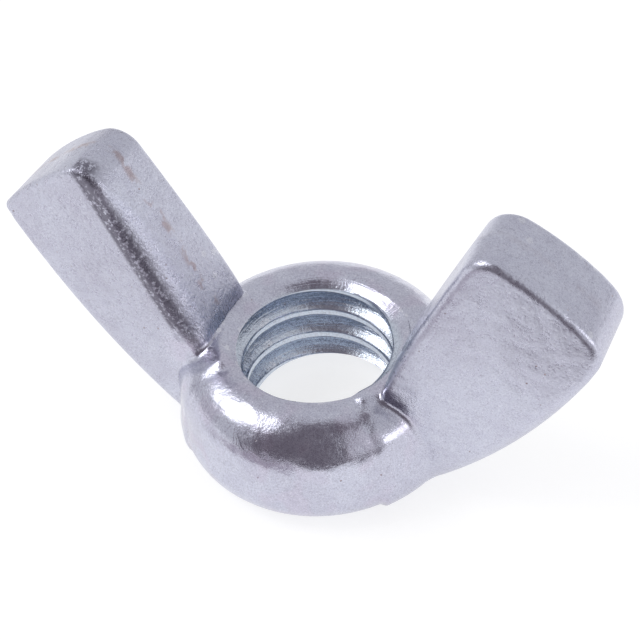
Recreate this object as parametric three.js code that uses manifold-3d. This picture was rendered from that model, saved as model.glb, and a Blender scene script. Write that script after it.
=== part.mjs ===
// A forged wing nut with a 5/16-18 UNC thread, in millimetres.
//
// The bearing face lies on Z = 0, the threaded bore runs along Z and the two wings spread along X.
// The whole nut is one forging: a round hub, two flat wings and a tapped bore with a chamfer at each end.
import * as THREE from "three";
import { mergeVertices } from "three/addons/utils/BufferGeometryUtils.js";
import Module from "manifold-3d";

// ---------------------------------------------------------------- driving dimensions (mm)

// Thread
const PITCH = 25.4 / 18; // 18 threads per inch
const MINOR_RADIUS = 3.2; // crests of the internal thread
const MAJOR_RADIUS = 3.97; // roots of the internal thread
const CREST_FLAT = PITCH / 4; // flat left on each crest by the tap drill
const ROOT_FLAT = PITCH / 8; // flat at the bottom of each groove
const THREAD_START = 0.8; // height of a groove's lower edge where it crosses +X
const TOP_CHAMFER = 0.52; // countersink at the top, from the crests outwards
const TOP_CHAMFER_DEPTH = 0.37; // and down from the top face
const BOTTOM_CHAMFER = 0.8; // 45 degree countersink in the bearing face

// Hub
const HUB_HEIGHT = 5.21;
const HUB_FOOT_RADIUS = 6.33; // where the flank would meet the bearing face
const HUB_TOP_RADIUS = 5.74; // where the flank would meet the top face
const HUB_FOOT_ROUND = 1.16;
const HUB_TOP_ROUND = 2.3;

// Wings: the outline of one wing in the X-Z plane, as corner and control points [x, z]
const WING_ROOT_UNDER = [5.61, 0.1]; // where the underside leaves the hub
const WING_UNDER_BEND = [10.1, 3.77]; // control point of the curved underside
const TIP_OUTER = [12.79, 10.48];
const TIP_INNER = [7.8, 13.79];
const WING_INNER_BEND = [3.85, 6.07]; // control point of the inner edge
const WING_ROOT_TOP = [4.0, HUB_HEIGHT - 0.03];
const WING_BURIED_END = 1.56; // the wing's root runs in to here and is cut back by the bore
const TIP_CROWN = 0.34; // how far the blunt end bulges
const TIP_OUTER_ROUND = 0.8;
const TIP_INNER_ROUND = 1.16;
const ROOT_FILLET = 0.9; // concave, between the inner edge and the top of the hub
const WING_ROOT_THICKNESS = 4.22;
const WING_TIP_THICKNESS = 3.09;
const UNDER_EDGE_ROUND = 1.27; // rounding along the two edges of the underside
const INNER_EDGE_ROUND = 0.39; // along the inner edge
const TIP_EDGE_ROUND = 0.3; // around the blunt end
const WING_OFFSET_Y = -0.54; // the wings' middle plane, measured from the bore's axis

// Fineness of the faceted surfaces
const HUB_SIDES = 96;
const THREAD_SIDES = 48;
const ARC_STEPS = 6;
const EDGE_STEPS = 4;
const CLOSEST_POINTS = 0.117; // outline points nearer than this are merged

// ---------------------------------------------------------------- outline helpers

const point = ([x, z]) => new THREE.Vector2(x, z);

/** Points of a circular arc that rounds the corner b between a and c. */
function roundedCorner(a, b, c, radius, steps = ARC_STEPS) {
  const toA = a.clone().sub(b).normalize();
  const toC = c.clone().sub(b).normalize();
  const half = Math.acos(THREE.MathUtils.clamp(toA.dot(toC), -1, 1)) / 2;
  const reach = Math.min(radius / Math.tan(half), 0.98 * a.distanceTo(b), 0.98 * c.distanceTo(b));
  const r = reach * Math.tan(half);
  const centre = b.clone().add(toA.clone().add(toC).normalize().multiplyScalar(r / Math.sin(half)));
  const start = b.clone().addScaledVector(toA, reach).sub(centre);
  const end = b.clone().addScaledVector(toC, reach).sub(centre);
  const from = start.angle();
  let sweep = end.angle() - from;
  if (sweep > Math.PI) sweep -= 2 * Math.PI;
  if (sweep < -Math.PI) sweep += 2 * Math.PI;
  return Array.from({ length: steps + 1 }, (_, i) => {
    const angle = from + (sweep * i) / steps;
    return new THREE.Vector2(centre.x + r * Math.cos(angle), centre.y + r * Math.sin(angle));
  });
}

/** Points of the quadratic curve from a to c that is pulled towards b. */
function bend(a, b, c, steps) {
  return new THREE.QuadraticBezierCurve(a, b, c).getPoints(steps);
}

// ---------------------------------------------------------------- solids

const wasm = await Module();
wasm.setup();

/** A closed three.js geometry as a solid that can be joined and cut. */
function solid(geometry) {
  const bare = geometry.index ? geometry.toNonIndexed() : geometry.clone();
  bare.deleteAttribute("normal");
  bare.deleteAttribute("uv");
  const merged = mergeVertices(bare, 1e-4);
  return new wasm.Manifold(
    new wasm.Mesh({
      numProp: 3,
      vertProperties: merged.attributes.position.array,
      triVerts: new Uint32Array(merged.index.array),
    }),
  );
}

/** A solid as a three.js geometry with flat-shaded normals. */
function geometryOf(body) {
  const mesh = body.getMesh();
  const geometry = new THREE.BufferGeometry();
  const position = new Float32Array(mesh.numVert * 3);
  for (let i = 0; i < mesh.numVert; i++)
    for (let k = 0; k < 3; k++) position[3 * i + k] = mesh.vertProperties[mesh.numProp * i + k];
  geometry.setAttribute("position", new THREE.BufferAttribute(position, 3));
  geometry.setIndex(new THREE.BufferAttribute(mesh.triVerts, 1));
  geometry.computeVertexNormals();
  return geometry;
}

/** A solid of revolution about Z from a profile of [radius, height] points that goes upwards. */
function turned(profile) {
  return solid(new THREE.LatheGeometry(profile, HUB_SIDES).rotateX(Math.PI / 2));
}

/** The hub without its bore: a low cone with a rounded foot and a broad rounded shoulder. */
function hub() {
  const axisBottom = new THREE.Vector2(0, 0);
  const axisTop = new THREE.Vector2(0, HUB_HEIGHT);
  const foot = new THREE.Vector2(HUB_FOOT_RADIUS, 0);
  const shoulder = new THREE.Vector2(HUB_TOP_RADIUS, HUB_HEIGHT);
  return turned([
    axisBottom,
    ...roundedCorner(axisBottom, foot, shoulder, HUB_FOOT_ROUND),
    ...roundedCorner(foot, shoulder, axisTop, HUB_TOP_ROUND, 8),
    axisTop,
  ]);
}

/** The outline of the wing on the +X side, anticlockwise in the X-Z plane, with the edge rounding at each point. */
function wingOutline() {
  const [rootUnder, underBend, tipOuter, tipInner, innerBend, rootTop] = [
    WING_ROOT_UNDER,
    WING_UNDER_BEND,
    TIP_OUTER,
    TIP_INNER,
    WING_INNER_BEND,
    WING_ROOT_TOP,
  ].map(point);
  const under = bend(rootUnder, underBend, tipOuter, 9);
  const across = tipInner.clone().sub(tipOuter);
  const outwards = new THREE.Vector2(across.y, -across.x).normalize();
  const crown = tipOuter.clone().add(tipInner).multiplyScalar(0.5).addScaledVector(outwards, 2 * TIP_CROWN);
  const end = bend(tipOuter, crown, tipInner, 7);
  const inner = bend(tipInner, innerBend, rootTop, 8);
  const insideHub = new THREE.Vector2(WING_BURIED_END, rootTop.y);
  const stretches = [
    [UNDER_EDGE_ROUND, under.slice(0, -2)],
    [(UNDER_EDGE_ROUND + TIP_EDGE_ROUND) / 2, [under.at(-2)]],
    [TIP_EDGE_ROUND, roundedCorner(under.at(-2), tipOuter, end[1], TIP_OUTER_ROUND, 3)],
    [TIP_EDGE_ROUND, [...end.slice(1, -1), ...roundedCorner(end.at(-2), tipInner, inner[1], TIP_INNER_ROUND)]],
    [INNER_EDGE_ROUND, [...inner.slice(1, -1), ...roundedCorner(inner.at(-2), rootTop, insideHub, ROOT_FILLET, 4)]],
    [INNER_EDGE_ROUND, [insideHub, new THREE.Vector2(WING_BURIED_END, rootUnder.y)]],
  ];
  const outline = stretches.flatMap(([round, points]) => points.map((place) => ({ place, round })));
  return outline.filter((p, i) => i === 0 || p.place.distanceTo(outline[i - 1].place) > CLOSEST_POINTS);
}

/** The inward direction at each point of an anticlockwise outline, lengthened at corners so that offsets stay parallel. */
function inwardDirections(places) {
  const inward = (a, b) => new THREE.Vector2(a.y - b.y, b.x - a.x).normalize();
  return places.map((place, i) => {
    const before = inward(places.at(i - 1), place);
    const after = inward(place, places[(i + 1) % places.length]);
    return before.clone().add(after).divideScalar(1 + before.dot(after));
  });
}

/**
 * One wing, on +X for side 1 and on -X for side -1. Rings of its outline are stacked through the thickness
 * and drawn in towards both faces by the edge rounding, and the thickness falls evenly from root to tip.
 */
function wing(side) {
  const outline = wingOutline();
  const places = outline.map((p) => p.place);
  const inward = inwardDirections(places);
  const root = new THREE.Vector2(4.16, HUB_HEIGHT / 2);
  const along = point(TIP_OUTER).add(point(TIP_INNER)).multiplyScalar(0.5).sub(root);
  const halfThickness = (place) => {
    const run = place.clone().sub(root).dot(along) / along.lengthSq();
    return THREE.MathUtils.lerp(WING_ROOT_THICKNESS, WING_TIP_THICKNESS, run) / 2;
  };
  const ring = (face, step) =>
    outline.map(({ place, round }, i) => {
      const turn = (Math.PI / 2) * (step / EDGE_STEPS);
      const drawnIn = place.clone().addScaledVector(inward[i], round * (1 - Math.cos(turn)));
      const y = face * (halfThickness(drawnIn) - round * (1 - Math.sin(turn)));
      return new THREE.Vector3(drawnIn.x, y + WING_OFFSET_Y, drawnIn.y);
    });
  const steps = Array.from({ length: EDGE_STEPS + 1 }, (_, k) => k);
  const rings = [...steps.toReversed().map((k) => ring(-1, k)), ...steps.map((k) => ring(1, k))];
  const triangles = [];
  rings.slice(1).forEach((next, k) =>
    places.forEach((_, i) => {
      const j = (i + 1) % places.length;
      triangles.push([rings[k][i], next[j], rings[k][j]], [rings[k][i], next[i], next[j]]);
    }),
  );
  const faceOutline = rings[0].map((p) => new THREE.Vector2(p.x, p.z));
  for (const [a, b, c] of THREE.ShapeUtils.triangulateShape(faceOutline, [])) {
    triangles.push([rings[0][a], rings[0][b], rings[0][c]]);
    triangles.push([rings.at(-1)[a], rings.at(-1)[c], rings.at(-1)[b]]);
  }
  const placed = triangles.flatMap(([a, b, c]) => (side > 0 ? [a, b, c] : [a, c, b]));
  const geometry = new THREE.BufferGeometry().setFromPoints(placed);
  return solid(geometry.scale(side, 1, 1));
}

/**
 * The screw that cuts the thread: a right-hand helical surface closed by a fan at each end.
 * Each turn has five rows of points: both ends of the groove's root, both ends of the crest, and the next root.
 */
function threadCutter() {
  const flank = (PITCH - CREST_FLAT - ROOT_FLAT) / 2;
  const rows = [
    [0, MAJOR_RADIUS],
    [ROOT_FLAT, MAJOR_RADIUS],
    [ROOT_FLAT + flank, MINOR_RADIUS],
    [ROOT_FLAT + flank + CREST_FLAT, MINOR_RADIUS],
  ];
  const start = THREAD_START - 3 * PITCH;
  const turns = Math.ceil((HUB_HEIGHT + 3 * PITCH) / PITCH) + 3;
  const last = turns * rows.length;
  const height = (row) => start + Math.floor(row / rows.length) * PITCH + rows[row % rows.length][0];
  const position = [];
  const corner = (side, row) => {
    const angle = (2 * Math.PI * side) / THREAD_SIDES;
    const radius = rows[row % rows.length][1];
    return [radius * Math.cos(angle), radius * Math.sin(angle), height(row) + (PITCH * side) / THREAD_SIDES];
  };
  // One turn further on, the surface meets itself one pitch higher.
  const vertex = (side, row) => (side === THREAD_SIDES ? corner(0, row + rows.length) : corner(side, row));
  const triangle = (a, b, c) => position.push(...a, ...b, ...c);
  for (let side = 0; side < THREAD_SIDES; side++)
    for (let row = 0; row < last; row++) {
      const [a, b] = [vertex(side, row), vertex(side + 1, row)];
      const [c, d] = [vertex(side + 1, row + 1), vertex(side, row + 1)];
      triangle(a, b, c);
      triangle(a, c, d);
    }
  const under = [0, 0, height(0) - PITCH];
  const over = [0, 0, height(last + rows.length) + PITCH];
  for (let side = 0; side < THREAD_SIDES; side++) {
    triangle(under, vertex(side + 1, 0), vertex(side, 0));
    triangle(over, vertex(side, last), vertex(side + 1, last));
  }
  for (let row = 0; row < rows.length; row++) {
    triangle(under, corner(0, row), corner(0, row + 1));
    triangle(over, corner(0, last + row + 1), corner(0, last + row));
  }
  const geometry = new THREE.BufferGeometry();
  geometry.setAttribute("position", new THREE.Float32BufferAttribute(position, 3));
  return solid(geometry);
}

/** The tool that countersinks the top of the bore: a cone from the crests outwards, then a straight shank. */
function topCountersink(width, depth) {
  const slope = depth / width;
  const [inside, outside] = [0.5, width + 0.2];
  return turned([
    new THREE.Vector2(0, HUB_HEIGHT - depth - inside * slope),
    new THREE.Vector2(MINOR_RADIUS - inside, HUB_HEIGHT - depth - inside * slope),
    new THREE.Vector2(MINOR_RADIUS + outside, HUB_HEIGHT - depth + outside * slope),
    new THREE.Vector2(MINOR_RADIUS + outside, HUB_HEIGHT + 3),
    new THREE.Vector2(0, HUB_HEIGHT + 3),
  ]);
}

/** The cone that countersinks the bearing face: it opens downwards from the crests at the given depth. */
function bottomCountersink(depth) {
  const [low, high] = [-2, depth + 0.5];
  return turned([
    new THREE.Vector2(0, low),
    new THREE.Vector2(MINOR_RADIUS + depth + 2, low),
    new THREE.Vector2(MINOR_RADIUS - 0.5, high),
    new THREE.Vector2(0, high),
  ]);
}

// ---------------------------------------------------------------- the nut

const blank = hub().add(wing(1)).add(wing(-1));
const tapped = blank
  .subtract(threadCutter())
  .subtract(topCountersink(TOP_CHAMFER, TOP_CHAMFER_DEPTH))
  .subtract(bottomCountersink(BOTTOM_CHAMFER));

const brightZinc = new THREE.MeshStandardMaterial({ color: 0xb4b6c0, roughness: 0.38, metalness: 1 });

const wingNutMesh = new THREE.Mesh(geometryOf(tapped), brightZinc);
wingNutMesh.name = "wing_nut";

const wingNut = new THREE.Group();
wingNut.add(wingNutMesh);

export default wingNut;
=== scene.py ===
"""A forged, zinc-plated wing nut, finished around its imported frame.

The nut is one forging. Its blank is described as a solid by distance: a turned hub, the thick
forged roots, and two flat wings that melt into them, each with its own edge rounding. The blank
is skinned with a fine even mesh, the thread is cut out of it with a helical tap, and a procedural
zinc finish is laid over the whole surface. All sizes of the metal are in millimetres and become
metres at the end.
"""

from __future__ import annotations

import logging
import math
import sys
from dataclasses import dataclass, field
from enum import Enum
from itertools import product

import bpy
import numpy as np
from mathutils import Matrix, Vector

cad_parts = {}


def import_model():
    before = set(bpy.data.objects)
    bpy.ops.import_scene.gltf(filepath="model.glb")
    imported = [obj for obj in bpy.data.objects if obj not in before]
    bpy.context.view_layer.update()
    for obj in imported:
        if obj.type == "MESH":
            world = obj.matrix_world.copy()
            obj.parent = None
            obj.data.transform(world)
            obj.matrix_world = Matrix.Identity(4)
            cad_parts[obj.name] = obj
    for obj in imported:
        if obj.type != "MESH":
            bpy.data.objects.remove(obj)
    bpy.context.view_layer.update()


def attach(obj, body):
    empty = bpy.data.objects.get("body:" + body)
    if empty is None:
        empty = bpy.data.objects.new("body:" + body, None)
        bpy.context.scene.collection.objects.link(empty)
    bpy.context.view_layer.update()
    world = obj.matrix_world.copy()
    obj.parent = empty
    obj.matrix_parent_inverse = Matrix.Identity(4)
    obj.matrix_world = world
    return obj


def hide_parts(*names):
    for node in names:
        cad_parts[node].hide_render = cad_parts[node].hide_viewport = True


MM = 0.001
NODE = "wing_nut"
log = logging.getLogger("wing_nut")


class Side(Enum):
    """The two wings, by the sign of X that they stand on."""

    LEFT = -1
    RIGHT = 1


class Axis(Enum):
    """The three directions of a grid."""

    X = 0
    Y = 1
    Z = 2


# ------------------------------------------------------------------ plane curves


def unit(vector: np.ndarray) -> np.ndarray:
    """The vector at length one."""
    return vector / (np.linalg.norm(vector) + 1e-12)


def rounded_corner(
    a: np.ndarray, b: np.ndarray, c: np.ndarray, radius: float, steps: int = 6
) -> np.ndarray:
    """Rounds the corner b between a and c.

    Args:
        a: The point before the corner.
        b: The corner.
        c: The point after it.
        radius: The arc's radius, cut down where the sides are too short.
        steps: How many straight pieces the arc has.

    Returns:
        The arc's points, from the side of a to the side of c.
    """
    to_a, to_c = unit(a - b), unit(c - b)
    half = math.acos(float(np.clip(to_a @ to_c, -1, 1))) / 2
    reach = min(radius / math.tan(half), 0.98 * np.linalg.norm(a - b), 0.98 * np.linalg.norm(c - b))
    r = reach * math.tan(half)
    centre = b + unit(to_a + to_c) * (r / math.sin(half))
    start, end = b + to_a * reach - centre, b + to_c * reach - centre
    first = math.atan2(start[1], start[0])
    sweep = math.atan2(end[1], end[0]) - first
    sweep -= 2 * math.pi * round(sweep / (2 * math.pi))
    turns = first + sweep * np.linspace(0, 1, steps + 1)
    return centre + r * np.stack([np.cos(turns), np.sin(turns)], 1)


def away_from(points: np.ndarray, corner: np.ndarray, gap: float) -> np.ndarray:
    """The points of a line that are farther than the gap from a corner."""
    return points[np.linalg.norm(points - corner, axis=1) > gap]


def bent_line(a: np.ndarray, b: np.ndarray, c: np.ndarray, steps: int) -> np.ndarray:
    """Points of the quadratic curve from a to c that is pulled towards b."""
    t = np.linspace(0, 1, steps + 1)[:, None]
    return (1 - t) ** 2 * a + 2 * t * (1 - t) * b + t**2 * c


def smooth_step(value: np.ndarray, low: float, high: float) -> np.ndarray:
    """0 below low, 1 above high and an even S curve between."""
    t = np.clip((value - low) / (high - low), 0, 1)
    return t * t * (3 - 2 * t)


def melt(a: np.ndarray, b: np.ndarray, reach: float | np.ndarray) -> np.ndarray:
    """Joins two distances, with a fillet of about the given reach where they meet."""
    t = np.clip(0.5 + 0.5 * (b - a) / reach, 0, 1)
    return b + (a - b) * t - reach * t * (1 - t)


def cut_away(a: np.ndarray, b: np.ndarray, reach: float) -> np.ndarray:
    """The metal that two solids share, with their meeting edge softened by about the given reach."""
    return -melt(-a, -b, reach)


def rounded_slab(rim: np.ndarray, face: np.ndarray, rounding: float | np.ndarray) -> np.ndarray:
    """The distance to the rounded corner between a rim and a face, each given as a distance."""
    a, b = rim + rounding, face + rounding
    return np.minimum(np.maximum(a, b), 0) + np.hypot(np.maximum(a, 0), np.maximum(b, 0)) - rounding


@dataclass(frozen=True)
class Outline:
    """A closed outline in a plane, with a number such as an edge rounding at each corner."""

    points: np.ndarray
    numbers: np.ndarray

    def distance(self, u: np.ndarray, v: np.ndarray) -> tuple[np.ndarray, np.ndarray]:
        """Measures places in the outline's plane.

        Args:
            u: First coordinates.
            v: Second coordinates, of a shape that broadcasts with u.

        Returns:
            The distance to the outline, negative inside, and the number at its nearest point.
        """
        shape = np.broadcast_shapes(u.shape, v.shape)
        nearest = np.full(shape, 1e9, u.dtype)
        number = np.zeros(shape, u.dtype)
        outside = np.ones(shape, bool)
        for i in range(len(self.points)):
            a, b = self.points[i], self.points[i - 1]
            side = b - a
            du, dv = u - u.dtype.type(a[0]), v - v.dtype.type(a[1])
            t = np.clip((du * side[0] + dv * side[1]) / (side @ side + 1e-12), 0, 1)
            gap = (du - side[0] * t) ** 2 + (dv - side[1] * t) ** 2
            closer = gap < nearest
            nearest = np.where(closer, gap, nearest)
            here = self.numbers[i] + (self.numbers[i - 1] - self.numbers[i]) * t
            number = np.where(closer, here, number)
            above, below = v >= a[1], v < b[1]
            turned = side[0] * dv > side[1] * du
            outside ^= (above & below & turned) | (~above & ~below & ~turned)
        return np.where(outside, 1, -1) * np.sqrt(nearest), number


# ------------------------------------------------------------------ the blank


@dataclass(frozen=True)
class Hub:
    """The turned boss: a low cone with a rounded foot and a broad shoulder, in millimetres."""

    height: float = 5.21
    foot_radius: float = 6.443
    top_radius: float = 5.735
    foot_round: float = 1.51
    top_round: float = 2.1
    top_slope: float = 0.17
    rim_radius: float = 3.72
    oval: float = 0.03

    def profile(self) -> Outline:
        """Half of the hub's section, with the radius first and the height second."""
        bottom, foot = np.array([0.0, 0.0]), np.array([self.foot_radius, 0.0])
        fall = self.top_slope * (self.top_radius - self.rim_radius)
        shoulder = np.array([self.top_radius, self.height - fall])
        top = np.array([0.0, self.height + self.top_slope * self.rim_radius])
        points = np.vstack(
            [
                bottom,
                rounded_corner(bottom, foot, shoulder, self.foot_round, 9),
                rounded_corner(foot, shoulder, top, self.top_round, 12),
                top,
            ]
        )
        return Outline(points, np.zeros(len(points)))

    def distance(self, x: np.ndarray, y: np.ndarray, z: np.ndarray) -> np.ndarray:
        """The distance from places to the hub's surface, negative inside."""
        stretch = 1 + self.oval * smooth_step(z, 0.2 * self.height, self.height)
        return self.profile().distance(np.hypot(x / stretch, y), z)[0]


@dataclass(frozen=True)
class EdgeRounds:
    """The rounding along a wing's edges, in millimetres.

    The inner edge can also have a bevel on the front face. It starts and ends gently, over the
    given shares of the way from the root to the tip, its depth is a share of its own size, and
    sharpest is the rounding that is left where it has faded out.
    """

    under: float = 1.33
    under_tip: float = 0.37
    end: float = 0.2
    inner: float = 0.34
    inner_bevel: float = 0.0
    bevel_depth: float = 0.12
    sharpest: float = 0.02
    bevel_starts: tuple[float, float] = (0.02, 0.3)
    bevel_ends: tuple[float, float] = (0.7, 1.0)


@dataclass(frozen=True)
class Gusset:
    """The thick root of a wing: flat facets round the hub's flank, in millimetres.

    Each facet has the angle that it faces, in radians from the wing's own direction, its distance
    from the bore's axis at the bearing face, and how much nearer it comes for each unit of height.
    The root ends at the spread, an angle about the bore's axis. Its foot leans in by foot_lean for
    each unit of height, and its top falls away outwards from the radius fall_from.
    """

    facets: tuple[tuple[float, float, float], ...]
    spread: float
    softness: float = 0.1
    side_softness: float = 0.34
    foot_lean: float = 0.1
    fall: float = 0.62
    fall_from: float = 4.3
    fillet: float = 0.3


@dataclass(frozen=True)
class Wing:
    """One flat wing, given in the X-Z plane of the +X side, in millimetres."""

    side: Side
    hub: Hub
    rounds: EdgeRounds
    gusset: Gusset
    offset_root: float
    offset_tip: float
    root_under: tuple[float, float] = (5.067, -0.33)
    under_bend: tuple[float, float] = (9.938, 3.321)
    tip_outer: tuple[float, float] = (12.794, 10.481)
    tip_inner: tuple[float, float] = (7.804, 13.793)
    inner_bend: tuple[float, float] = (3.85, 6.07)
    root_middle: tuple[float, float] = (4.16, 2.473)
    root_top: float = 4.0
    end_crown: float = 0.34
    outer_corner: float = 0.25
    inner_corner: float = 1.15
    root_fillet: float = 0.9
    tuck: float = 0.02
    buried_end: float = 1.56
    buried_height: float = 1.0
    half_root: float = 2.11
    half_tip: float = 1.546
    parting_rise: float = 0.12

    def outline(self) -> Outline:
        """The wing's outline, with the edge rounding at each corner."""
        root, under = np.array(self.root_under), np.array(self.under_bend)
        outer, inner = np.array(self.tip_outer), np.array(self.tip_inner)
        bend, top = np.array(self.inner_bend), np.array([self.root_top, self.hub.height - self.tuck])
        outwards = unit(np.array([(inner - outer)[1], -(inner - outer)[0]]))
        lower = away_from(bent_line(root, under, outer, 18), outer, self.outer_corner)
        end = bent_line(outer, (outer + inner) / 2 + outwards * 2 * self.end_crown, inner, 16)
        end = away_from(away_from(end, outer, self.outer_corner), inner, self.inner_corner)
        back = away_from(bent_line(inner, bend, top, 16), inner, self.inner_corner)
        buried = np.array([self.buried_end, top[1]])
        along = np.linspace(0, 1, len(lower)) ** 2
        outer_turn = rounded_corner(lower[-1], outer, end[0], self.outer_corner)
        inner_turn = rounded_corner(end[-1], inner, back[0], self.inner_corner, 8)
        e = self.rounds
        stretches = [
            (e.under + (e.under_tip - e.under) * along, lower),
            (np.linspace(e.under_tip, e.end, len(outer_turn)), outer_turn),
            (e.end, end),
            (np.linspace(e.end, e.inner, len(inner_turn)), inner_turn),
            (e.inner, back[:-1]),
            (e.inner, rounded_corner(back[-2], top, buried, self.root_fillet, 8)),
            (e.inner, np.array([buried])),
            (e.under, np.array([[self.buried_end, max(root[1], 0.0) + self.buried_height]])),
        ]
        points = np.vstack([p for _, p in stretches])
        numbers = np.concatenate([np.broadcast_to(n, len(p)) for n, p in stretches])
        return Outline(points, numbers)

    def run(self, out: np.ndarray, z: np.ndarray) -> np.ndarray:
        """How far along the wing places are: 0 at the root and 1 at the tip."""
        root = np.array(self.root_middle)
        along = (np.array(self.tip_outer) + np.array(self.tip_inner)) / 2 - root
        return ((out - root[0]) * along[0] + (z - root[1]) * along[1]) / (along @ along)

    def distance(self, x: np.ndarray, y: np.ndarray, z: np.ndarray) -> np.ndarray:
        """The distance from places to the wing's surface, negative inside."""
        out = x * self.side.value
        flat, rounding = self.outline().distance(out, z)
        run = np.clip(self.run(out, z), 0, 1)
        half = self.half_root + (self.half_tip - self.half_root) * run
        across = y - (self.offset_root + (self.offset_tip - self.offset_root) * run)
        inner_side = smooth_step(-self.across_width(out, z), -0.2, 1.5)
        crown = self.parting_rise * inner_side * np.clip(1 - np.abs(across) / half, 0, 1)
        metal = rounded_slab(flat - crown, np.abs(across) - half, rounding)
        e = self.rounds
        if e.inner_bevel:
            fade = smooth_step(run, *e.bevel_starts) * (1 - smooth_step(run, *e.bevel_ends))
            bevel = e.inner_bevel * inner_side * fade + e.sharpest
            front = -across - half - e.bevel_depth * bevel
            metal = np.maximum(metal, rounded_slab(flat - crown, front, bevel))
        return metal

    def root_distance(self, x: np.ndarray, y: np.ndarray, z: np.ndarray) -> np.ndarray:
        """Measures the thicker forged root, which stands proud of the front face at the hub.

        Args:
            x: Places along the wings.
            y: Places across them.
            z: Heights.

        Returns:
            The distance from places to the root's surface, negative inside.
        """
        g = self.gusset
        out, off = x * self.side.value, -y
        sides = [
            (out * math.cos(turn) + off * math.sin(turn) - (reach - lean * z)) / math.hypot(1, lean)
            for turn, reach, lean in g.facets
        ]
        facets = sides[0]
        for side in sides[1:]:
            facets = cut_away(facets, side, g.softness)
        wedge = np.maximum(off * math.cos(g.spread) - out * math.sin(g.spread), -off)
        walls = cut_away(facets, wedge, g.side_softness)
        around = np.hypot(x, y)
        foot = rounded_slab(around - self.hub.foot_radius + g.foot_lean * z, -z, self.hub.foot_round)
        crown = (z - self.hub.height + g.fall * (around - g.fall_from)) / math.hypot(1, g.fall)
        return cut_away(cut_away(walls, foot, g.softness), crown, g.side_softness)

    def across_width(self, out: np.ndarray, z: np.ndarray) -> np.ndarray:
        """Places across the wing's width, positive towards its underside."""
        root = np.array(self.root_middle)
        along = unit((np.array(self.tip_outer) + np.array(self.tip_inner)) / 2 - root)
        return (out - root[0]) * along[1] - (z - root[1]) * along[0]


@dataclass(frozen=True)
class Thread:
    """The tapped bore: a right-hand coarse thread with a chamfer at each end, in millimetres."""

    pitch: float = 25.4 / 18
    minor_radius: float = 3.2
    major_radius: float = 3.97
    crest_flat: float = 0.353
    root_flat: float = 0.176
    crest_round: float = 0.06
    phase: float = 0.63
    top_chamfer: tuple[float, float] = (0.52, 0.37)
    bottom_chamfer: float = 0.8
    shank_gap: float = 0.25
    sides: int = 180
    steps: int = 30

    def chamfers(self, hub: Hub, x: np.ndarray, y: np.ndarray, z: np.ndarray) -> np.ndarray:
        """The distance to the two countersinks' own solids, negative inside."""
        r = np.hypot(x, y)
        wide, deep = self.top_chamfer
        out, above = r - self.minor_radius, z - (hub.height - deep)
        top = (out * deep - above * wide) / math.hypot(wide, deep)
        bottom = (r - self.minor_radius - (self.bottom_chamfer - z)) * math.sqrt(0.5)
        shank = r - (self.minor_radius + wide + self.shank_gap)
        return np.minimum(np.maximum(top, shank), bottom)

    def groove(self, place: np.ndarray) -> np.ndarray:
        """The tap's radius at a place along one pitch, where 0 is the middle of the groove.

        Args:
            place: Heights along the thread, in pitches.

        Returns:
            The radius, with the crest's corners rounded.
        """
        away = np.abs((place + 0.5) % 1 - 0.5) * self.pitch
        flank = (self.pitch - self.crest_flat - self.root_flat) / 2
        slope = (self.major_radius - self.minor_radius) / flank
        plain = self.major_radius - slope * np.maximum(away - self.root_flat / 2, 0)
        lifted = plain - self.minor_radius
        soft = self.crest_round
        return self.minor_radius + (lifted + np.sqrt(lifted**2 + soft**2)) / 2

    def tap(self, hub: Hub) -> bpy.types.Object:
        """Makes the helical solid that cuts the thread.

        Args:
            hub: The hub that it has to pass through.

        Returns:
            A closed mesh object in metres.
        """
        turns = math.ceil(hub.height / self.pitch) + 4
        rows = turns * self.steps
        angle = 2 * np.pi * np.arange(self.sides) / self.sides
        row = np.arange(rows + self.steps + 1)
        radius = self.groove(row / self.steps)
        start = (self.phase - 2) * self.pitch
        ring, level = np.meshgrid(np.arange(self.sides), row, indexing="ij")
        height = start + level * self.pitch / self.steps + ring * self.pitch / self.sides
        x, y = radius[level] * np.cos(angle[ring]), radius[level] * np.sin(angle[ring])
        places = np.stack([x, y, height], -1).reshape(-1, 3)
        count = rows + self.steps + 1

        def vertex(side: int, step: np.ndarray | int) -> np.ndarray | int:
            """The number of the point at a side and a step; a whole turn on is one pitch higher."""
            return step + self.steps if side == self.sides else side * count + step

        faces: list[tuple[int, ...]] = []
        steps = np.arange(rows)
        for side in range(self.sides):
            ahead = side + 1
            lower = [vertex(side, steps), vertex(ahead, steps)]
            upper = [vertex(ahead, steps + 1), vertex(side, steps + 1)]
            faces.extend(map(tuple, np.stack(lower + upper, 1).tolist()))
        under, over = len(places), len(places) + 1
        ends = np.array([[0, 0, places[0][2] - self.pitch], [0, 0, places[:, 2].max() + self.pitch]])
        for side in range(self.sides):
            faces.append((under, vertex(side + 1, 0), vertex(side, 0)))
            faces.append((over, vertex(side, rows), vertex(side + 1, rows)))
        for step in range(self.steps):
            faces.append((under, step, step + 1))
            faces.append((over, rows + step + 1, rows + step))
        used = np.unique(np.concatenate([np.array(face) for face in faces]))
        renumber = np.full(len(places) + 2, -1)
        renumber[used] = np.arange(len(used))
        faces = [tuple(renumber[list(face)].tolist()) for face in faces]
        return mesh_object("thread_tap", np.vstack([places, ends])[used] * MM, faces)


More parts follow.
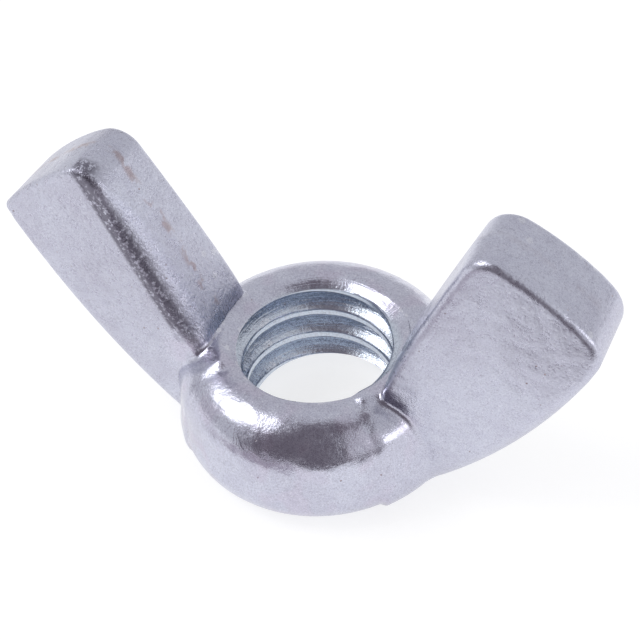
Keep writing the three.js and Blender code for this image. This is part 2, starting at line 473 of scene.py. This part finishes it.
@dataclass(frozen=True)
class Blank:
    """The forging before tapping: hub and wings in one skin, inside the box from low to high."""

    hub: Hub
    thread: Thread
    wings: tuple[Wing, ...]
    fillet: float = 0.2
    chamfer_softness: float = 0.28
    voxel: float = 0.11
    low: tuple[float, float, float] = (-13.3, -6.9, -0.6)
    high: tuple[float, float, float] = (13.3, 6.9, 14.3)

    def distance(self, x: np.ndarray, y: np.ndarray, z: np.ndarray) -> np.ndarray:
        """The distance from places to the blank's surface, negative inside."""
        metal = self.hub.distance(x, y, z)
        for wing in self.wings:
            metal = melt(metal, wing.root_distance(x, y, z), wing.gusset.fillet)
            metal = melt(metal, wing.distance(x, y, z), self.fillet)
        metal = np.maximum(metal, -z)
        return cut_away(metal, -self.thread.chamfers(self.hub, x, y, z), self.chamfer_softness)

    def slope(self, p: np.ndarray, step: float = 0.01) -> np.ndarray:
        """The outward direction at places, from the change of distance."""
        slopes = []
        for axis in Axis:
            shift = np.zeros(3)
            shift[axis.value] = step
            ahead, behind = p + shift, p - shift
            slopes.append(self.distance(*ahead.T) - self.distance(*behind.T))
        normal = np.stack(slopes, 1)
        return normal / (np.linalg.norm(normal, axis=1)[:, None] + 1e-12)

    def skin(self) -> tuple[np.ndarray, np.ndarray]:
        """Skins the blank with an even net of four-sided faces.

        Returns:
            The net's points in millimetres and its faces.
        """
        grid = [np.arange(a, b, self.voxel) for a, b in zip(self.low, self.high, strict=True)]
        x, y, z = (places.astype(np.float32) for places in np.meshgrid(*grid, indexing="ij", sparse=True))
        points, faces = surface_net(self.distance(x, y, z))
        points = np.array(self.low) + points * self.voxel
        for _ in range(2):
            points -= self.slope(points) * self.distance(*points.T)[:, None]
        return points, faces


def surface_net(field_of: np.ndarray) -> tuple[np.ndarray, np.ndarray]:
    """Finds the surface where a gridded distance changes sign.

    Args:
        field_of: The distance at each grid point.

    Returns:
        Points in grid steps, one for each cell that the surface crosses, and four-sided faces.
    """
    inside = field_of < 0
    cells = tuple(n - 1 for n in inside.shape)
    full = np.zeros(cells, np.int8)
    for i, j, k in product((0, 1), repeat=3):
        full += inside[i : cells[0] + i, j : cells[1] + j, k : cells[2] + k]
    crossed = (full > 0) & (full < 8)
    number = np.full(cells, -1, np.int64)
    number[crossed] = np.arange(int(crossed.sum()))
    cell = np.argwhere(crossed)
    total, hits = np.zeros(cell.shape), np.zeros(len(cell))
    for axis in Axis:
        for i, j in product((0, 1), repeat=2):
            corner = np.insert(np.array([i, j]), axis.value, 0)
            along = np.eye(3, dtype=int)[axis.value]
            a = field_of[tuple((cell + corner).T)].astype(float)
            b = field_of[tuple((cell + corner + along).T)].astype(float)
            cut = (a < 0) != (b < 0)
            t = np.where(cut, a / np.where(cut, a - b, 1), 0)
            total += np.where(cut[:, None], corner + along * t[:, None], 0)
            hits += cut
    points = cell + total / hits[:, None]
    faces = []
    for axis in Axis:
        near = np.take(inside, range(inside.shape[axis.value] - 1), axis.value)
        far = np.take(inside, range(1, inside.shape[axis.value]), axis.value)
        edge = np.argwhere(near != far)
        u, v = ((axis.value + 1) % 3, (axis.value + 2) % 3)
        keep = (edge[:, u] > 0) & (edge[:, v] > 0)
        edge = edge[keep & (edge[:, u] < inside.shape[u] - 1) & (edge[:, v] < inside.shape[v] - 1)]
        leaving = near[tuple(edge.T)]
        du, dv = np.eye(3, dtype=int)[u], np.eye(3, dtype=int)[v]
        ring = [number[tuple((edge - s * du - t * dv).T)] for s, t in ((1, 1), (0, 1), (0, 0), (1, 0))]
        quad = np.stack(ring, 1)
        faces.append(np.where(leaving[:, None], quad, quad[:, ::-1]))
    return points, np.vstack(faces)


def mesh_object(
    name: str, points: np.ndarray, faces: list[tuple[int, ...]] | np.ndarray
) -> bpy.types.Object:
    """Makes a mesh object at the origin.

    Args:
        name: The object's name.
        points: Its points, in metres.
        faces: Its faces, as point numbers.

    Returns:
        The object, linked into the scene.
    """
    mesh = bpy.data.meshes.new(name)
    rows = faces.tolist() if isinstance(faces, np.ndarray) else faces
    mesh.from_pydata(points.tolist(), [], rows)
    mesh.update()
    made = bpy.data.objects.new(name, mesh)
    bpy.context.scene.collection.objects.link(made)
    return made


def flat_sheet(name: str, width: float, depth: float) -> bpy.types.Object:
    """Makes a flat rectangle round the origin, facing up; the sizes are in metres."""
    w, d = width / 2, depth / 2
    return mesh_object(name, np.array([[-w, -d, 0], [w, -d, 0], [w, d, 0], [-w, d, 0]]), [(0, 1, 2, 3)])


# ------------------------------------------------------------------ shader graphs


@dataclass(frozen=True)
class Number:
    """A socket that carries a number. Python's operators on it add Math nodes."""

    graph: "Graph"
    socket: bpy.types.NodeSocket

    def _maths(self, operation: str, *others: "Number | float", clamp: bool = False) -> "Number":
        """Adds a Math node with this number as its first input."""
        inputs = dict(enumerate((self, *others)))
        return self.graph.number("ShaderNodeMath", {"operation": operation, "use_clamp": clamp}, inputs)

    def _maths_after(self, operation: str, first: float) -> "Number":
        """Adds a Math node with this number as its second input."""
        return self.graph.number("ShaderNodeMath", {"operation": operation}, {0: first, 1: self})

    def __add__(self, other: "Number | float") -> "Number":
        """The sum."""
        return self._maths("ADD", other)

    def __radd__(self, other: float) -> "Number":
        """The sum, with the plain number first."""
        return self._maths("ADD", other)

    def __sub__(self, other: "Number | float") -> "Number":
        """The difference."""
        return self._maths("SUBTRACT", other)

    def __rsub__(self, other: float) -> "Number":
        """The difference from a plain number."""
        return self._maths_after("SUBTRACT", other)

    def __mul__(self, other: "Number | float") -> "Number":
        """The product."""
        return self._maths("MULTIPLY", other)

    def __rmul__(self, other: float) -> "Number":
        """The product, with the plain number first."""
        return self._maths("MULTIPLY", other)

    def __pow__(self, other: "Number | float") -> "Number":
        """The power."""
        return self._maths("POWER", other)

    def __abs__(self) -> "Number":
        """The size without its sign."""
        return self._maths("ABSOLUTE")

    def at_least(self, other: "Number | float") -> "Number":
        """The greater of the two."""
        return self._maths("MAXIMUM", other)

    def clamped(self) -> "Number":
        """Kept between 0 and 1."""
        return self._maths("ADD", 0.0, clamp=True)

    def step(self, low: float, high: float) -> "Number":
        """An even S curve from 0 at low to 1 at high; high may be the smaller."""
        if low > high:
            return 1 - self.step(high, low)
        inputs = {0: self, 1: low, 2: high, 3: 0.0, 4: 1.0}
        return self.graph.number("ShaderNodeMapRange", {"interpolation_type": "SMOOTHSTEP"}, inputs)


Input = "Number | bpy.types.NodeSocket | float | tuple[float, ...]"


@dataclass(frozen=True)
class Graph:
    """A material's node tree."""

    tree: bpy.types.NodeTree

    def node(
        self, kind: str, settings: dict[str, object], inputs: dict[int | str, Input]
    ) -> bpy.types.Node:
        """Adds a node.

        Args:
            kind: The node's type, such as ShaderNodeTexNoise.
            settings: Its options, which are set first.
            inputs: A value, a socket or a Number for each input, by number or name.

        Returns:
            The node.
        """
        made = self.tree.nodes.new(kind)
        for name, value in settings.items():
            setattr(made, name, value)
        for key, value in inputs.items():
            socket = made.inputs[key]
            if isinstance(value, Number):
                self.tree.links.new(value.socket, socket)
            elif isinstance(value, bpy.types.NodeSocket):
                self.tree.links.new(value, socket)
            else:
                socket.default_value = value
        return made

    def number(
        self,
        kind: str,
        settings: dict[str, object],
        inputs: dict[int | str, Input],
        output: int | str = 0,
    ) -> Number:
        """Adds a node and gives one of its outputs as a Number."""
        return Number(self, self.node(kind, settings, inputs).outputs[output])

    def noise(
        self, place: bpy.types.NodeSocket, scale: float, detail: float = 2.0, roughness: float = 0.5
    ) -> Number:
        """Soft cloud noise from 0 to 1, with scale features to the millimetre."""
        inputs = {"Vector": place, "Scale": scale, "Detail": detail, "Roughness": roughness}
        return self.number("ShaderNodeTexNoise", {"normalize": True}, inputs, "Fac")

    def mixed(self, share: Number | float, first: Input, second: Input) -> bpy.types.NodeSocket:
        """Mixes two colours, with the given share of the second."""
        made = self.node("ShaderNodeMix", {"data_type": "RGBA"}, {0: share, 6: first, 7: second})
        return made.outputs[2]

    def stretched(
        self, place: bpy.types.NodeSocket, by: tuple[float, float, float]
    ) -> bpy.types.NodeSocket:
        """A place with each of its coordinates multiplied."""
        made = self.node("ShaderNodeVectorMath", {"operation": "MULTIPLY"}, {0: place, 1: by})
        return made.outputs[0]


@dataclass(frozen=True)
class Areas:
    """Where each look of the zinc belongs on the nut, from 0 to 1. Some mark painted light: shade in
    creases, a highlight on convex edges, a dark reflection on the left wing's bevel and brightening in
    the bore.
    """

    bore: Number
    turned: Number
    wing: Number
    right: Number
    # The next three mark painted shade in creases, a painted highlight on convex edges, and lap dirt with
    # a painted dark reflection on the left wing's bevel.
    painted_crease_shade: Number
    edge: Number
    lap_and_painted_reflection_band: Number


@dataclass(frozen=True)
class Marks:
    """The clouds, grains and marks in the zinc, from 0 to 1."""

    cloud: Number
    dents: Number
    mottle: Number
    grain: Number
    fine: Number
    pit: Number
    speck: Number
    rings: Number
    scratch: Number
    line: Number


@dataclass(frozen=True)
class ZincPlate:
    """Bright zinc over forged steel: frosted and grainy on the wings, smoother on the turned hub.

    The wings' grain starts at wing_from along X or wing_above in height, in millimetres.
    """

    metal: tuple[float, float, float, float] = (0.57, 0.58, 0.69, 1.0)
    pale: tuple[float, float, float, float] = (0.68, 0.70, 0.80, 1.0)
    shadowed: tuple[float, float, float, float] = (0.49, 0.48, 0.58, 1.0)
    lilac: tuple[float, float, float, float] = (0.56, 0.49, 0.62, 1.0)
    # Teal tone for the bore: the plating's own tint, and painted light that makes the bore's interior
    # brighter.
    bore_tint_and_painted_light: tuple[float, float, float, float] = (0.66, 0.74, 0.83, 1.0)
    # Dark tone: grime and specks, and also painted shade in concave creases.
    grit_and_crease_shade: tuple[float, float, float, float] = (0.33, 0.32, 0.39, 1.0)
    # Pale tone: a painted highlight on convex edges and painted glints in the fine frost.
    glint: tuple[float, float, float, float] = (0.80, 0.81, 0.87, 1.0)
    # Near-black tone: dirt in a forging lap on the left wing's bevel, and a painted dark reflection
    # there.
    lap_soot_and_painted_reflection: tuple[float, float, float, float] = (0.13, 0.12, 0.16, 1.0)
    rust: tuple[float, float, float, float] = (0.30, 0.17, 0.14, 1.0)
    roughness_hub: float = 0.2
    roughness_wing: float = 0.3
    wing_from: float = 5.3
    wing_above: float = 5.6

    def specks(self, g: Graph, place: bpy.types.NodeSocket, scale: float, size: float) -> Number:
        """Small round spots, scale of them to the millimetre and size as a share of their spacing."""
        inputs = {"Vector": place, "Scale": scale, "Randomness": 1.0}
        away = g.number("ShaderNodeTexVoronoi", {"feature": "F1"}, inputs, "Distance")
        return away.step(size, size * 0.4)

    def turning_marks(self, g: Graph, around: Number, z: Number) -> Number:
        """Fine rings round the bore's axis, as a tap and a countersink leave them."""
        ring = g.node("ShaderNodeCombineXYZ", {}, {0: around * 5.0, 1: z * 5.0, 2: 0.0})
        return g.noise(ring.outputs[0], 1.6, 2.0, 0.6)

    def scratches(self, g: Graph, place: bpy.types.NodeSocket, x: Number, z: Number) -> Number:
        """Fine parallel scratches at the root of the left wing's inner face."""
        streak = g.noise(g.stretched(place, (1.6, 11.0, 1.6)), 0.8, 2.0, 0.6).step(0.52, 0.62)
        return streak * x.step(-3.4, -3.9) * z.step(8.0, 6.6) * z.step(5.0, 5.3)

    def parting_line(self, g: Graph, place: bpy.types.NodeSocket, x: Number, y: Number) -> Number:
        """The brownish trace round the middle of each wing where the forging dies met."""
        centre = x.step(-1.0, 1.0) * 0.45 - 0.78
        wander = (g.noise(place, 0.7, 2.0, 0.6) - 0.5) * 0.5
        broken = g.noise(place, 1.5, 2.0, 0.6).step(0.46, 0.58)
        return abs(y - centre - wander).step(0.3, 0.05) * broken

    def areas(self, g: Graph, place: bpy.types.NodeSocket, x: Number, y: Number, z: Number) -> Areas:
        """Marks out where each look belongs.

        Args:
            g: The material's nodes.
            place: Places on the nut in millimetres.
            x: Their first coordinate.
            y: Their second.
            z: Their third.

        Returns:
            The areas.
        """
        around = (x * x + y * y) ** 0.5
        wing = (abs(x) - self.wing_from).at_least(z - self.wing_above).step(-0.3, 0.9)
        right = x.step(-2.0, 2.0)
        bend = g.number("ShaderNodeNewGeometry", {}, {}, "Pointiness")
        # The band across the left wing's bevel that gets lap dirt and a painted dark reflection.
        inwards = x * 0.908 + z * 0.419 + 1.3
        band = inwards.step(-1.05, -0.8) * inwards.step(0.05, -0.3)
        bevel = y.step(-1.5, -1.9) * (1 - right) * wing
        return Areas(
            # The bore, which gets a teal tint and painted brightening.
            bore=around.step(4.05, 3.98) * z.step(5.0, 4.75),
            turned=around.step(4.0, 3.9),
            wing=wing,
            right=right,
            # Painted shade: concave creases, found by the mesh's pointiness.
            painted_crease_shade=bend.step(0.485, 0.44),
            # Painted highlight: convex edges, found by the mesh's pointiness.
            edge=bend.step(0.52, 0.58),
            # Lap dirt and a painted dark reflection on the left wing's bevel, broken up by noise.
            lap_and_painted_reflection_band=bevel * band * g.noise(place, 5.0, 3.0, 0.7).step(0.36, 0.5),
        )

    def marks(
        self, g: Graph, place: bpy.types.NodeSocket, x: Number, y: Number, z: Number, on: Areas
    ) -> Marks:
        """Makes the patterns that the relief and the colour are mixed from.

        Args:
            g: The material's nodes.
            place: Places on the nut in millimetres.
            x: Their first coordinate.
            y: Their second.
            z: Their third.
            on: The areas.

        Returns:
            The patterns.
        """
        around = (x * x + y * y) ** 0.5
        return Marks(
            cloud=g.noise(place, 0.36, 3.0, 0.55),
            dents=g.noise(place, 0.95, 1.0, 0.4),
            mottle=g.noise(place, 1.9, 3.0, 0.55),
            grain=g.noise(place, 7.5, 3.0, 0.62),
            fine=g.noise(place, 17.0, 2.0, 0.65),
            pit=self.specks(g, place, 1.9, 0.10) * g.noise(place, 0.8, 1.0).step(0.5, 0.62),
            speck=self.specks(g, place, 3.7, 0.13) * g.noise(place, 1.3, 1.0).step(0.5, 0.6),
            rings=self.turning_marks(g, around, z),
            scratch=self.scratches(g, place, x, z),
            line=self.parting_line(g, place, x, y) * on.wing * (1 - on.right * 0.85),
        )

    def relief(self, m: Marks, on: Areas) -> Number:
        """The height of the surface's grain, dents and marks, in millimetres."""
        coarse = (m.grain - 0.5) * 0.04 * (0.2 + 0.8 * on.wing) * (1 - 0.65 * on.right)
        frost = (m.fine - 0.5) * 0.013 * (0.45 + 0.55 * on.wing) * (1 - 0.6 * on.right * on.wing)
        height = coarse + frost + (m.mottle - 0.5) * 0.022 + (m.dents - 0.5) * 0.05 * (1 - on.turned)
        height = height - m.pit * 0.015 - m.scratch * 0.008
        return height + (m.rings - 0.5) * 0.02 * on.turned + m.line * 0.006

    def colour(self, g: Graph, m: Marks, on: Areas) -> bpy.types.NodeSocket:
        """The metal's colour, laid down from the widest clouds to the smallest specks."""
        grime = m.fine.step(0.5, 0.34) * 0.36 + m.grain.step(0.5, 0.36) * 0.22
        layers = (
            ((m.mottle - 0.35) * 1.6, self.pale),
            (m.cloud.step(0.42, 0.62) * 0.35, self.shadowed),
            (m.dents.step(0.5, 0.68) * (1 - on.wing) * 0.3, self.lilac),
            # Teal tint in the bore, with painted light that brightens it.
            (on.bore * 0.75, self.bore_tint_and_painted_light),
            # Painted highlight on convex edges.
            (on.edge * 0.45, self.glint),
            (grime, self.grit_and_crease_shade),
            # Painted glints in the fine frost.
            (m.fine.step(0.56, 0.7) * 0.45, self.glint),
            (m.line * 0.45 + m.pit * 0.7, self.rust),
            # Grit in specks, and painted shade in concave creases away from the turned hub.
            (m.speck * 0.6 + on.painted_crease_shade * 0.75 * (1 - on.turned), self.grit_and_crease_shade),
            # Lap dirt with a painted dark reflection on the left wing's bevel.
            (on.lap_and_painted_reflection_band * 0.85, self.lap_soot_and_painted_reflection),
        )
        tone: Input = self.metal
        for share, layer in layers:
            tone = g.mixed(share.clamped(), tone, layer)
        return tone

    def material(self) -> bpy.types.Material:
        """Makes the finish.

        Returns:
            A material whose pattern is laid out in millimetres on the part.
        """
        made = bpy.data.materials.new("bright_zinc")
        made.use_nodes = True
        made.node_tree.nodes.clear()
        g = Graph(made.node_tree)
        coordinates = g.node("ShaderNodeTexCoord", {}, {}).outputs["Object"]
        place = g.stretched(coordinates, (1 / MM, 1 / MM, 1 / MM))
        x, y, z = (Number(g, part) for part in g.node("ShaderNodeSeparateXYZ", {}, {0: place}).outputs)
        on = self.areas(g, place, x, y, z)
        m = self.marks(g, place, x, y, z, on)
        bump = {"Strength": 1.0, "Distance": MM, "Height": self.relief(m, on)}
        rough = self.roughness_hub + (self.roughness_wing - self.roughness_hub) * on.wing
        rough = rough + (m.mottle - 0.5) * 0.2 + (m.grain - 0.5) * 0.2 + m.scratch * 0.1
        metal = {
            "Base Color": self.colour(g, m, on),
            "Metallic": 1.0,
            "Roughness": rough.clamped(),
            "Normal": g.node("ShaderNodeBump", {}, bump).outputs[0],
        }
        shader = g.node("ShaderNodeBsdfPrincipled", {}, metal)
        g.node("ShaderNodeOutputMaterial", {}, {0: shader.outputs[0]})
        return made


@dataclass(frozen=True)
class Plain:
    """A plain matt or glowing finish for the studio."""

    name: str
    colour: tuple[float, float, float, float]
    roughness: float = 0.9
    glow: float = 0.0
    glow_colour: tuple[float, float, float, float] = (1.0, 1.0, 1.0, 1.0)

    def material(self) -> bpy.types.Material:
        """Makes the finish."""
        made = bpy.data.materials.new(self.name)
        made.use_nodes = True
        made.node_tree.nodes.clear()
        g = Graph(made.node_tree)
        shader = g.node(
            "ShaderNodeBsdfPrincipled",
            {},
            {
                "Base Color": self.colour,
                "Roughness": self.roughness,
                "Specular IOR Level": 0.1,
                "Emission Color": self.glow_colour,
                "Emission Strength": self.glow,
            },
        )
        g.node("ShaderNodeOutputMaterial", {}, {0: shader.outputs[0]})
        return made


# ------------------------------------------------------------------ the nut


@dataclass
class WingNut:
    """The whole nut: a forged blank with a tapped bore and a zinc finish."""

    hub: Hub = field(default_factory=Hub)
    thread: Thread = field(default_factory=Thread)
    finish: ZincPlate = field(default_factory=ZincPlate)

    def blank(self) -> Blank:
        """The forging, with the small differences between its two wings."""
        left = Wing(
            Side.LEFT,
            self.hub,
            EdgeRounds(inner_bevel=1.17),
            Gusset(((0.36, 6.6, 0.36), (0.7, 6.5, 0.2)), spread=0.8),
            offset_root=-0.647,
            offset_tip=-0.911,
            end_crown=0.36,
            outer_corner=0.5,
        )
        right = Wing(
            Side.RIGHT,
            self.hub,
            EdgeRounds(end=0.28),
            Gusset(((0.28, 7.5, 0.46), (0.6, 6.62, 0.2)), spread=0.68),
            offset_root=-0.258,
            offset_tip=-0.413,
            end_crown=0.42,
            outer_corner=1.48,
        )
        return Blank(self.hub, self.thread, (left, right))

    def build(self) -> bpy.types.Object:
        """Skins the blank and cuts the thread.

        Returns:
            The finished metal, without its material.
        """
        points, faces = self.blank().skin()
        body = mesh_object("wing_nut_metal", points * MM, faces)
        tap = self.thread.tap(self.hub)
        cut = body.modifiers.new("tapping", "BOOLEAN")
        cut.operation, cut.object, cut.solver = "DIFFERENCE", tap, "MANIFOLD"
        shape = body.evaluated_get(bpy.context.evaluated_depsgraph_get())
        tapped = bpy.data.meshes.new_from_object(shape)
        body.modifiers.clear()
        body.data = tapped
        bpy.data.objects.remove(tap)
        tapped.name = "wing_nut_metal"
        tapped.shade_smooth()
        tapped.set_sharp_from_angle(angle=math.radians(50))
        return body

    def dress(self, body: bpy.types.Object) -> None:
        """Lays the zinc over the metal and puts the piece in the frame."""
        body.data.materials.clear()
        body.data.materials.append(self.finish.material())
        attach(body, "root")
        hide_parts(NODE)


# ------------------------------------------------------------------ the studio


@dataclass(frozen=True)
class Softbox:
    """A soft rectangular light that faces the nut."""

    name: str
    place: tuple[float, float, float]
    width: float
    depth: float
    brightness: float
    colour: tuple[float, float, float] = (1.0, 1.0, 1.0)

    def build(self) -> bpy.types.Object:
        """Makes the light, aimed at the nut; the sizes are in millimetres."""
        data = bpy.data.lights.new(self.name, "AREA")
        data.shape, data.size, data.size_y = "RECTANGLE", self.width * MM, self.depth * MM
        data.energy, data.color = 4 * self.brightness * data.size * data.size_y, self.colour
        made = bpy.data.objects.new(self.name, data)
        made.location = Vector(self.place) * MM
        made.rotation_euler = (Vector((0, 0, 0.005)) - made.location).to_track_quat("-Z", "Y").to_euler()
        made.visible_camera = False
        bpy.context.scene.collection.objects.link(made)
        return made


@dataclass(frozen=True)
class Card:
    """A flat matt card that only shows in reflections, and casts no shadow of its own."""

    name: str
    place: tuple[float, float, float]
    facing: tuple[float, float, float]
    width: float
    depth: float
    finish: Plain

    def build(self) -> bpy.types.Object:
        """Makes the card; place and sizes are in millimetres."""
        made = flat_sheet(self.name, self.width * MM, self.depth * MM)
        made.location = Vector(self.place) * MM
        made.rotation_euler = Vector(self.facing).to_track_quat("Z", "Y").to_euler()
        made.data.materials.append(self.finish.material())
        made.visible_camera = False
        made.visible_shadow = False
        made.visible_diffuse = False
        return made


@dataclass(frozen=True)
class Camera:
    """The camera's stand: angles in degrees, distances in millimetres from the foot of the bore."""

    azimuth: float = 30.917
    elevation: float = 44.426
    roll: float = -6.926
    distance: float = 58.997
    right: float = -0.256
    up: float = 4.338
    lens: float = 74.494

    def build(self) -> bpy.types.Object:
        """Makes the camera and gives it to the scene."""
        a, e, r = (math.radians(v) for v in (self.azimuth, self.elevation, self.roll))
        back = Vector((math.sin(a) * math.cos(e), -math.cos(a) * math.cos(e), math.sin(e)))
        level = Vector((math.cos(a), math.sin(a), 0))
        upright = back.cross(level)
        right = math.cos(r) * level + math.sin(r) * upright
        up = math.cos(r) * upright - math.sin(r) * level
        data = bpy.data.cameras.new("camera")
        data.sensor_width, data.lens = 36, self.lens
        data.clip_start, data.clip_end = 0.001, 10
        made = bpy.data.objects.new("camera", data)
        made.matrix_world = Matrix((right, up, back)).transposed().to_4x4()
        made.location = (back * self.distance + right * self.right + up * self.up) * MM
        bpy.context.scene.collection.objects.link(made)
        bpy.context.scene.camera = made
        return made


@dataclass
class Studio:
    """A pale table in an evenly lit room, with soft lights, dark cards and a camera."""

    camera: Camera = field(default_factory=Camera)
    room_colour: tuple[float, float, float, float] = (0.68, 0.68, 0.70, 1.0)
    table_side: float = 1.2
    table_gap: float = 0.00002

    def build(self) -> None:
        """Sets the stage round the nut."""
        self.camera.build()
        scene = bpy.context.scene
        scene.view_settings.view_transform = "Standard"
        world = bpy.data.worlds.new("room")
        world.use_nodes = True
        background = world.node_tree.nodes["Background"]
        background.inputs[0].default_value = self.room_colour
        background.inputs[1].default_value = 1.0
        scene.world = world
        floor = flat_sheet("table_top", self.table_side, self.table_side)
        floor.data.materials.append(Plain("table_white", (0.45, 0.45, 0.45, 1.0), glow=0.68).material())
        floor.location.z = -self.table_gap
        Softbox("key", (-168, -62, 236), 100, 120, 3.0).build()
        Softbox("fill", (-128, -112, 190), 90, 90, 1.1).build()
        Softbox("side_strip", (260, -56, 70), 110, 110, 1.3).build()
        dim = (1.0, 0.88, 1.0, 1.0)
        dark = Plain("flag_dark", (0.03, 0.027, 0.03, 1.0), glow=0.17, glow_colour=dim)
        grey = Plain("mat_grey", (0.1, 0.1, 0.1, 1.0), glow=0.42, glow_colour=dim)
        Card("front_flag", (3, -64, 62), (-0.05, 0.99, 0), 96, 126, dark).build()
        Card("top_flag", (18, -36, 124), (0, 0, -1), 88, 58, dark).build()
        Card("front_mat", (40, -40, 0.1), (0, 0, 1), 68, 52, dark).build()
        Card("near_mat", (-8, -28, 0.05), (0, 0, 1), 20, 32, grey).build()


def main() -> None:
    """Builds the nut in its frame, then the studio."""
    style = "%(name)s: %(message)s"
    logging.basicConfig(level=logging.INFO, format=style, stream=sys.stdout, force=True)
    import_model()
    nut = WingNut()
    body = nut.build()
    nut.dress(body)
    log.info("nut: %d points, %d faces", len(body.data.vertices), len(body.data.polygons))
    Studio().build()
    bpy.context.view_layer.update()


if __name__ == "__main__":
    main()
